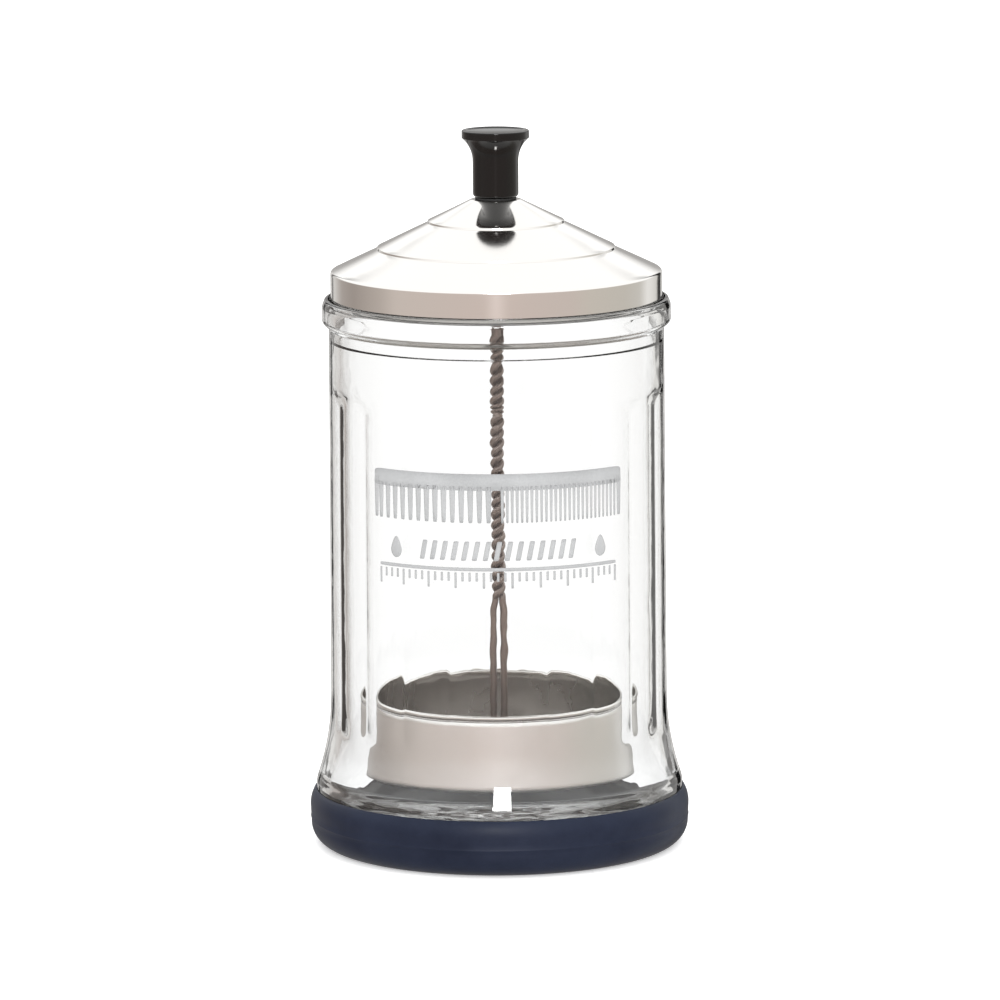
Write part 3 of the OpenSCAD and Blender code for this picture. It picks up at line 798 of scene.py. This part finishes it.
class JAR_OT_knob(bpy.types.Operator):
    """Moulds the black knob: a straight stem, a flared rim and a dished top"""

    bl_idname = "disinfectant_jar.knob"
    bl_label = "Knob"

    def execute(self, context):
        stem, rim, top = 6.65, 9.8, KNOB_TOP
        hole, hole_top = 4.03, KNOB_FOOT + 11.03
        rise, swell = 6.6, 2.95
        sweep = (rise ** 2 + swell ** 2) / (2 * swell)
        flare_z = top - 9.0
        reach = math.degrees(math.asin(rise / sweep))
        low = rounded([(0, hole_top, 0), (hole, hole_top, 0.2), (hole, KNOB_FOOT, 0.25),
                       (stem, KNOB_FOOT, 1.15), (stem, flare_z, 0)], 8)
        flare = arc(stem + sweep, flare_z, sweep, 180, 180 - reach, 20)
        head = rounded([
            (9.6, top - 2.4, 0), (rim, top - 2.25, 0.15), (rim, top, 0.35), (rim - 0.75, top, 0.22),
            (rim - 1.3, top - 0.32, 0.6)], 7)
        dish_r = rim - 1.45
        x = np.linspace(dish_r, 0, 16)
        dish = np.column_stack([x, top - 0.9 + 0.5 * (x / dish_r) ** 2.4])
        profile = dense(np.concatenate([low, flare, head, dish]), 0.9)
        obj = turned("knob_body", profile, [phenolic(context.scene.jar_looks)], 160)
        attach(obj, "knob_and_bolt")
        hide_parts("knob")
        return {"FINISHED"}


class JAR_OT_fasteners(bpy.types.Operator):
    """Cuts the eye bolt's thread and rounds its eye, makes the nut, and finishes the washers"""

    bl_idname = "disinfectant_jar.fasteners"
    bl_label = "Bolt, nut and washers"

    def execute(self, context):
        bright = plain_metal("Bright stainless steel fitting", linear("#c9c8c6"), 0.22)
        low, high = height_of("eye_bolt", False), height_of("eye_bolt", True)
        eye_z = low + 5.2
        shank = rounded([(0, eye_z + 4.3, 0), (2.48, eye_z + 4.3, 0.1), (2.48, high, 0.45), (0, high, 0)])

        def thread(r, z, a):
            """The radius dips by up to 0.32 mm as a triangle wave along a 0.8 mm helix."""
            phase = (z / 0.8 - a / (2 * np.pi)) % 1
            cut = 0.32 * np.abs(2 * phase - 1) * np.clip((z - eye_z - 7) / 0.6, 0, 1)
            return np.where(r > 2.2, r - cut, r), z

        bolt = turned("bolt_shank", dense(shank, 0.13), [bright], 48, shape=thread)
        ring = rounded([(2.8, 0, 0), (2.8, -1.1, 0.7), (5.2, -1.1, 0.75), (5.2, 1.1, 0.75),
                        (2.8, 1.1, 0.7), (2.8, 0.01, 0)])
        eye = turned("bolt_eye", ring, [bright], 72, True, across=eye_z)
        nut_low, nut_high = height_of("lock_nut", False), height_of("lock_nut", True)
        hole, half_flats, collar = 2.53, 4.0, 1.3
        side = rounded([(hole, nut_low, 0), (4.62, nut_low, 0), (4.62, nut_high - collar, 0.0),
                        (3.75, nut_high - 1.2, 0.1), (3.6, nut_high, 0.4), (hole, nut_high, 0)])

        def hexagon(r, z, a):
            """Below the collar, the radius is the least of the hexagon's, half_flats over the cosine of
            the angle from the nearest flat's middle, and a 30 degree chamfer's at both faces."""
            flat = half_flats / np.cos((a + np.pi / 6) % (np.pi / 3) - np.pi / 6)
            to_face = np.minimum(z - nut_low, nut_high - collar - z)
            cut = np.minimum(np.minimum(r, flat), to_face / math.tan(math.radians(30)) + half_flats)
            return np.where((r > 3.9) & (z < nut_high - 1.2), cut, r), z

        nut = turned("nut_body", dense(side, 0.35), [bright], 72, True, hexagon)
        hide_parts("eye_bolt")
        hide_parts("lock_nut")
        for obj in (bolt, eye, nut):
            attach(obj, "knob_and_bolt")
        brass = plain_metal("Turned brass insert", linear("#c9a860"), 0.3)
        black = fibre(context.scene.jar_looks)
        refinish("thrust_washer", bright)
        refinish("knob_insert", brass)
        refinish("knob_washer", black)
        return {"FINISHED"}


def wire_path(turns):
    """The lifter wire's centreline in millimetres, from one foot, over the loop, to the other.

    Leg A comes in along the foot, bends up, leans in to the twist, goes round the axis as a helix
    of radius 1.04 mm, leans out to the loop and follows a quarter circle to its top. Leg B is the
    same line turned half round the axis.
    """
    r, bend, gap = WIRE_RADIUS, 1.6, 1.55
    foot = WIRE_FOOT + r
    fork = BASKET_FOOT + 50
    loop_r, strand = 2.6, 1.04
    loop_z = WIRE_TOP - r - loop_r
    twist = loop_z - 8
    ease = lambda a, b, t: a + (b - a) * (1 - np.cos(np.pi * t)) / 2
    line = lambda x, y, z: np.column_stack(np.broadcast_arrays(x, y, z))
    t = np.radians(np.linspace(0, 90, 14))[1:]
    s = np.linspace(0, 1, 20)[1:]
    h = np.linspace(0, 1, turns * 36 + 1)[1:]
    tip = [15, 14.97, 14.88, 14.7, 14.4]
    leg = np.concatenate([
        line(np.concatenate([tip, np.linspace(14, gap + bend, 24)]), 0.0, foot),
        line(gap + bend * (1 - np.sin(t)), 0.0, foot + bend * (1 - np.cos(t))),
        line(gap, 0.0, np.linspace(foot + bend, fork - 5, 30)[1:]),
        line(ease(gap, strand, s), 0.0, fork - 5 * (1 - s)),
        line(strand * np.cos(2 * np.pi * turns * h), strand * np.sin(2 * np.pi * turns * h),
             fork + (twist - fork) * h),
        line(ease(strand, loop_r, s), 0.0, twist + (loop_z - twist) * s),
        line(loop_r * np.cos(t), 0.0, loop_z + loop_r * np.sin(t)),
    ])
    return np.concatenate([leg, leg[-2::-1] * (-1, -1, 1)])


class JAR_OT_lifter(bpy.types.Operator):
    """Twists the lifter's wire, rolls the basket's band and finishes its perforated tray"""

    bl_idname = "disinfectant_jar.lifter"
    bl_label = "Lifter and basket"

    def execute(self, context):
        sizes, looks = context.scene.jar_sizes, context.scene.jar_looks
        drawn = steel("Drawn stainless steel wire", looks.wire, 0.3, 0.5, 0.004, 0.15, along_rings=False)
        wire = tube("wire_hairpin", wire_path(sizes.twist_turns), WIRE_RADIUS, 16, [drawn])
        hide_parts("lifter_wire")
        satin = steel("Satin stainless steel sheet", looks.basket, 0.34, 0.3, 0.001, 0.06, 0.3)
        # The inside of the band is the same steel painted at 0.55 of the outside's colour, as painted
        # shade inside the basket.
        dark = tuple(np.array(looks.basket) * 0.55)
        inner = steel("Stainless steel sheet painted darker as shade", dark, 0.2, 0.4, 0.0015, 0.1, 0.4)
        edge = steel("Bright rolled steel edge", looks.lid, 0.1, 0.3, 0.002, 0.05)
        foot, top = BASKET_FOOT, BASKET_TOP
        roll_r, half_sheet = 0.65, 0.3
        roll_x, roll_z = 37.3, top - roll_r
        lean = math.degrees(math.asin(half_sheet / roll_r))
        roll = arc(roll_x, roll_z, roll_r, -90 + lean, 270 - lean, 26)
        sheet = np.linspace(0, 1, 14)[:, None]
        outer = (38.93, foot + 0.12) + sheet * np.array([(-1.33, top - foot - 2.05)])
        seam = np.array([(37.5, top - 1.85), (37.3, top - 1.6), (37.28, top - 1.4)])
        inner_line = np.column_stack([
            np.linspace(roll[-1, 0], 38.47, 14), np.linspace(roll[-1, 1], foot + 0.12, 14)])
        under = np.array([(38.55, foot + 0.02), (38.7, foot), (38.86, foot + 0.02)])
        profile = np.concatenate([outer, seam, roll, inner_line[1:], under])

        def handled(r, z, a):
            """The band is drawn in by 0.1 mm, and out of round by as much at its top."""
            return r + 0.1 * np.sin(2 * a + 0.6) * (z - foot) / (top - foot) - 0.1, z

        def zone(r, z):
            """0 for the outside, 1 for the inside, painted darker as shade, 2 for the rolled edge, 3 for
            the seam under it, painted near black as shade in the crease.
            """
            wall = 38.7 - 1.4 * (z - foot) / (top - foot)
            seam = (z > top - 1.95) & (r > wall)
            return np.where(z > top - 1.25, 2, np.where(seam, 3, np.where(r < wall, 1, 0)))

        # The seam's strip is 0.05 of the basket's colour: painted shade in the crease under the rolled
        # edge.
        darkening = plain_metal("Seam painted dark as shade", tuple(np.array(looks.basket) * 0.05), 0.5)
        band = turned("basket_wall", profile, [satin, inner, edge, darkening], 256, True, handled, zone)
        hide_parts("basket_band")
        for obj in (wire, band):
            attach(obj, "lifter")
        refinish("basket_tray", plain_metal("Pressed stainless steel sheet", linear("#bdb8b1"), 0.3))
        return {"FINISHED"}


# ---------------------------------------------------------------- stage


def studio(world):
    """A white sweep behind and above, soft grey in front, and dark gaps between the two.

    What a camera ray meets is plain white. What polished metal meets depends on the compass
    bearing of the ray, with a bright ceiling above. Light that passes through glass meets white
    with narrow grey gaps, and light that falls on matt surfaces is even.
    """
    world.use_nodes = True
    tree = world.node_tree
    tree.nodes.clear()
    way = add(tree, "TexCoord").outputs["Generated"]
    xyz = add(tree, "SeparateXYZ", {"Vector": way})
    bearing = add(tree, "Math", {0: xyz.outputs["X"], 1: xyz.outputs["Y"]}, operation="ARCTAN2")
    turn = add(tree, "MapRange", {
        "Value": bearing.outputs["Value"], "From Min": -math.pi, "From Max": math.pi}).outputs["Result"]
    deg = lambda d: 0.5 + d / 360
    band = stops(add(tree, "ValToRGB", {"Fac": turn}), [
        (deg(-180), linear("#f4e6e0")), (deg(-172), linear("#dccdc6")), (deg(-106), linear("#d8cdc6")),
        (deg(-92), linear("#c4bab3")), (deg(-62), linear("#aaa19b")), (deg(-44), linear("#b6aea9")),
        (deg(-27), linear("#e2e0dd")), (deg(-14), linear("#e6e4e2")), (deg(-7), linear("#b0aeac")),
        (deg(7), linear("#b0aeac")), (deg(14), linear("#e6e4e2")), (deg(32), linear("#e2e0dc")),
        (deg(50), linear("#fbfaf8")), (deg(62), linear("#d6d3cd")), (deg(80), linear("#d2cdc5")),
        (deg(112), linear("#d6cfc6")), (deg(126), linear("#d8ccc5")), (deg(172), linear("#dccdc6")),
        (deg(180), linear("#f4e6e0"))])
    flags = stops(add(tree, "ValToRGB", {"Fac": turn}), [
        (deg(-180), 1.0), (deg(-24), 1.0), (deg(-22), 0.1), (deg(-18.5), 0.1), (deg(-17), 1.0),
        (deg(17), 1.0), (deg(19), 0.02), (deg(29), 0.02), (deg(31), 1.0), (deg(180), 1.0)])
    z = xyz.outputs["Z"]
    up = add(tree, "MapRange", {"Value": z, "From Min": 0.12, "From Max": 0.34},
             interpolation_type="SMOOTHSTEP").outputs["Result"]
    top = add(tree, "MapRange", {"Value": z, "From Min": 0.3, "From Max": 0.6},
              interpolation_type="SMOOTHSTEP").outputs["Result"]
    down = add(tree, "MapRange", {"Value": z, "From Min": -0.3, "From Max": -0.75},
               interpolation_type="SMOOTHSTEP").outputs["Result"]
    white = (1.3, 1.3, 1.295, 1)
    blend = lambda factor, a, b: add(tree, "Mix", {0: factor, 6: a, 7: b}, data_type="RGBA").outputs[2]
    times = lambda a, b: add(tree, "Mix", {0: 1.0, 6: a, 7: b}, data_type="RGBA",
                             blend_type="MULTIPLY").outputs[2]
    gloss = times(blend(up, band, white), blend(top, flags, (1, 1, 1, 1)))
    gloss = blend(down, gloss, (0.62, 0.6, 0.58, 1))
    four = add(tree, "Math", {0: turn, 1: 4.0}, operation="MULTIPLY").outputs["Value"]
    quarter = add(tree, "Math", {0: four}, operation="FRACT").outputs["Value"]
    through = stops(add(tree, "ValToRGB", {"Fac": quarter}), [
        (0.0, 1.0), (0.28, 1.0), (0.31, 0.5), (0.35, 0.5), (0.38, 1.0),
        (0.62, 1.0), (0.65, 0.5), (0.69, 0.5), (0.72, 1.0), (1.0, 1.0)])
    through = times(through, (1.15, 1.14, 1.14, 1))
    ray = add(tree, "LightPath").outputs
    mirrored = add(tree, "Math", {0: ray["Glossy Depth"], 1: 0.5},
                   operation="GREATER_THAN").outputs["Value"]
    out = blend(ray["Is Glossy Ray"], (1.2, 1.195, 1.19, 1), gloss)
    straight = add(tree, "Math", {0: ray["Is Transmission Ray"], 1: mirrored}, operation="SUBTRACT",
                   use_clamp=True).outputs["Value"]
    out = blend(straight, out, through)
    out = blend(ray["Is Camera Ray"], out, (1, 1, 1, 1))
    add(tree, "OutputWorld", {"Surface": add(tree, "Background", {"Color": out}).outputs["Background"]})


class JAR_OT_stage(bpy.types.Operator):
    """Sets the pale floor, the studio light and the camera"""

    bl_idname = "disinfectant_jar.stage"
    bl_label = "Stage"

    def execute(self, context):
        scene = context.scene
        reach, under_jar = 9000.0, 0.05
        x = np.array([-reach, reach])
        verts = np.stack([*[g.ravel() for g in np.meshgrid(x, x)], np.full(4, -under_jar)], -1)

        def paper(tree):
            """Matt white paper with a trace of 40 mm mottle, lit evenly enough to burn out."""
            at = add(tree, "TexCoord").outputs["Object"]
            fleck = add(tree, "TexNoise", {"Vector": at, "Scale": 25.0})
            ramp = add(tree, "ValToRGB", {"Fac": fleck.outputs["Fac"]})
            tone = stops(ramp, [(0.3, 0.94), (0.7, 0.98)])
            return add(tree, "BsdfPrincipled", {
                "Base Color": tone, "Roughness": 0.9, "Emission Color": (1, 1, 1, 1),
                "Emission Strength": 0.4}).outputs["BSDF"]

        floor = mesh_object("floor", verts, [[0, 1, 3, 2]], [], [finish("White paper sweep", paper)])
        floor.visible_glossy = False
        floor.visible_transmission = False
        scene.world = bpy.data.worlds.new("Studio")
        studio(scene.world)
        for name, place, size, power in (
            ("Ceiling box", (0.1, -0.2, 1.6), 1.4, 8), ("Front box", (0.05, -1.5, 0.62), 0.32, 8)
        ):
            light = bpy.data.lights.new(name, "AREA")
            light.energy, light.size = power, size
            obj = bpy.data.objects.new(name, light)
            obj.location = place
            obj.rotation_euler = (Vector((0, 0, 0.1)) - obj.location).to_track_quat("-Z", "Y").to_euler()
            obj.visible_camera = False
            obj.visible_transmission = False
            obj.visible_glossy = name == "Front box"
            scene.collection.objects.link(obj)
        lens = bpy.data.cameras.new("Camera")
        lens.lens, lens.sensor_width = 266.25, 36.0
        lens.shift_x = 0.0023
        lens.clip_start, lens.clip_end = 0.05, 40.0
        camera = bpy.data.objects.new("Camera", lens)
        look_down, roll = 9.2646, -0.38
        camera.location = (0.0, -2.130, 0.44884)
        camera.rotation_euler = (math.radians(90 - look_down), 0, 0)
        camera.rotation_mode = "XYZ"
        turn = Matrix.Rotation(math.radians(roll), 4, "Z")
        camera.matrix_world = camera.matrix_basis @ turn
        scene.collection.objects.link(camera)
        scene.camera = camera
        scene.view_settings.view_transform = "Standard"
        scene.cycles.max_bounces = 28
        scene.cycles.transmission_bounces = 24
        scene.cycles.glossy_bounces = 8
        scene.cycles.diffuse_bounces = 4
        scene.cycles.transparent_max_bounces = 16
        return {"FINISHED"}


class JAR_PT_panel(bpy.types.Panel):
    """Lists the jar's pieces, sizes and colours in the sidebar"""

    bl_idname = "JAR_PT_panel"
    bl_label = "Disinfectant Jar"
    bl_space_type = "VIEW_3D"
    bl_region_type = "UI"
    bl_category = "Jar"

    def draw(self, context):
        for step in STEPS:
            self.layout.operator(step.bl_idname)
        for group in (context.scene.jar_sizes, context.scene.jar_looks):
            for key in group.__annotations__:
                self.layout.prop(group, key)


STEPS = (JAR_OT_stage, JAR_OT_glass, JAR_OT_print, JAR_OT_boot, JAR_OT_lid, JAR_OT_knob,
         JAR_OT_fasteners, JAR_OT_lifter)
CLASSES = (JarSizes, JarLooks, *STEPS, JAR_PT_panel)


def register():
    for cls in CLASSES:
        bpy.utils.register_class(cls)
    bpy.types.Scene.jar_sizes = PointerProperty(type=JarSizes)
    bpy.types.Scene.jar_looks = PointerProperty(type=JarLooks)


def unregister():
    del bpy.types.Scene.jar_looks, bpy.types.Scene.jar_sizes
    for cls in reversed(CLASSES):
        bpy.utils.unregister_class(cls)


def main():
    """Builds every piece in order."""
    register()
    for step in STEPS:
        getattr(bpy.ops.disinfectant_jar, step.bl_idname.split(".")[1])()
    bpy.context.view_layer.update()


if __name__ == "__main__":
    main()
